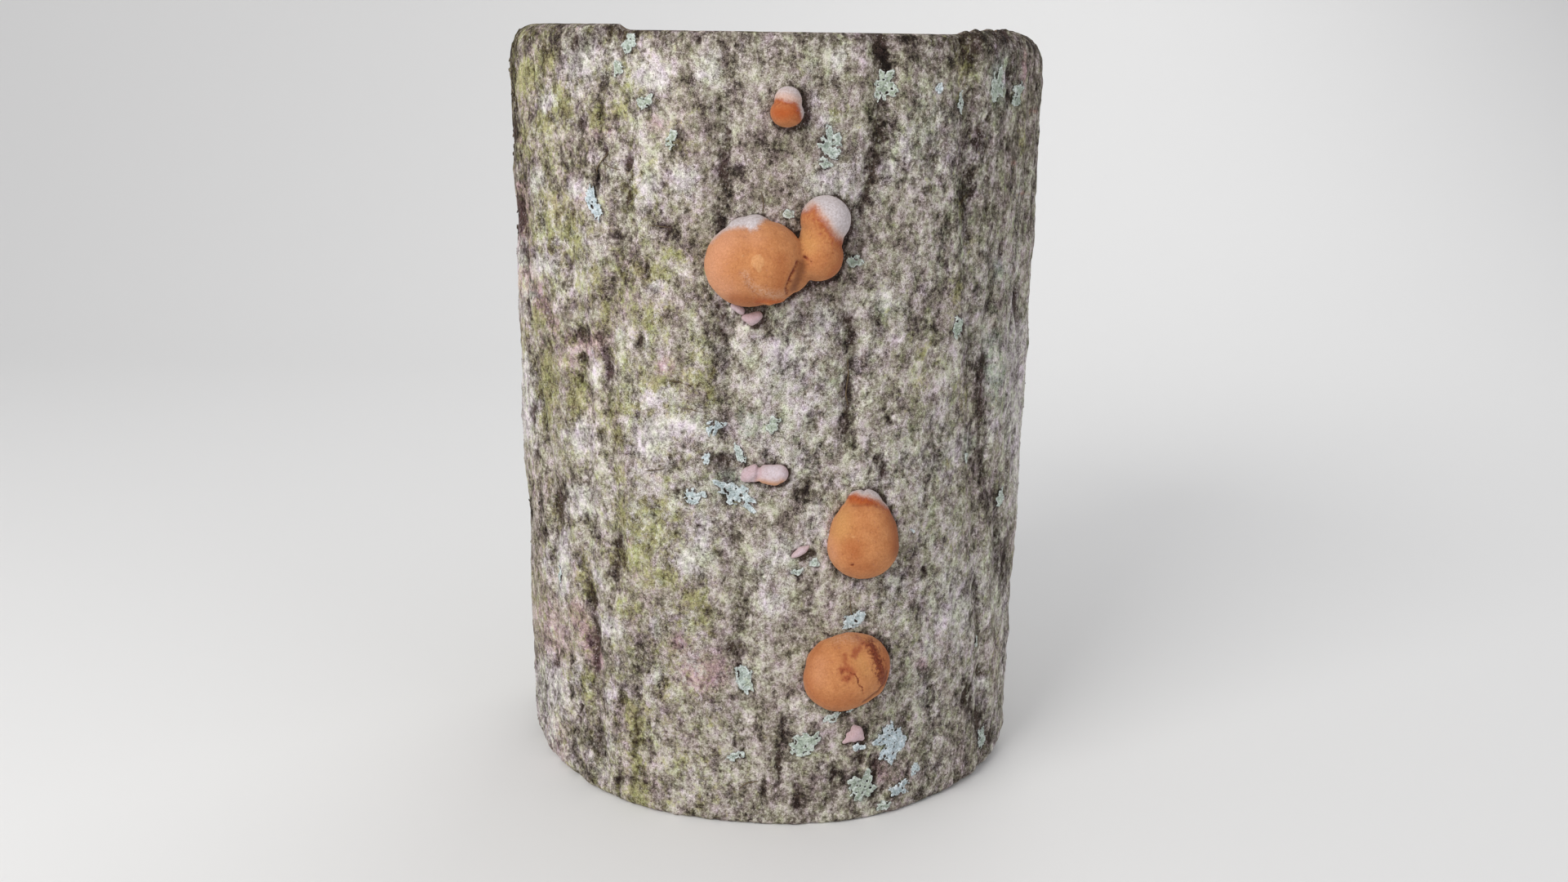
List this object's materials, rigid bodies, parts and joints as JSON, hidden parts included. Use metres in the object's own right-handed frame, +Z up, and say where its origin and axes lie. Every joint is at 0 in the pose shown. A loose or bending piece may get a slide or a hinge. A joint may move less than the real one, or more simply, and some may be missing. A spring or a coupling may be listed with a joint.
{
  "type": "bracket fungi on a log",
  "caption": "Section of trunk standing on its saw cut, with young orange-brown bracket fungi, pink buds and pale leafy lichens growing out of furrowed bark.",
  "frame": {"origin": "on the trunk's axis at the lower saw cut", "axes": "+Z up along the trunk; the fungi grow on the side that faces -Y"},
  "size_m": [0.2598, 0.2549, 0.368],
  "materials": {
    "bark": "matt, rough, weathered bark",
    "orange_flesh": "matt, velvety",
    "pink_flesh": "matt, velvety",
    "lichen": "matt, papery"
  },
  "bodies": {
    "root": {"log": "bark", "bracket_twin": "orange_flesh", "bracket_pear": "orange_flesh", "bracket_round": "orange_flesh", "bracket_bud": "orange_flesh", "buds_pair": "pink_flesh", "bud_under_left": "pink_flesh", "bud_under_right": "pink_flesh", "bud_sliver": "pink_flesh", "bud_wedge": "pink_flesh", "lichen_1": "lichen", "lichen_2": "lichen", "lichen_3": "lichen", "lichen_4": "lichen", "lichen_5": "lichen", "lichen_6": "lichen", "lichen_7": "lichen", "lichen_8": "lichen", "lichen_9": "lichen", "lichen_10": "lichen", "lichen_11": "lichen", "lichen_12": "lichen", "lichen_13": "lichen", "lichen_14": "lichen", "lichen_15": "lichen", "lichen_16": "lichen", "lichen_17": "lichen"}
  },
  "joints": []
}
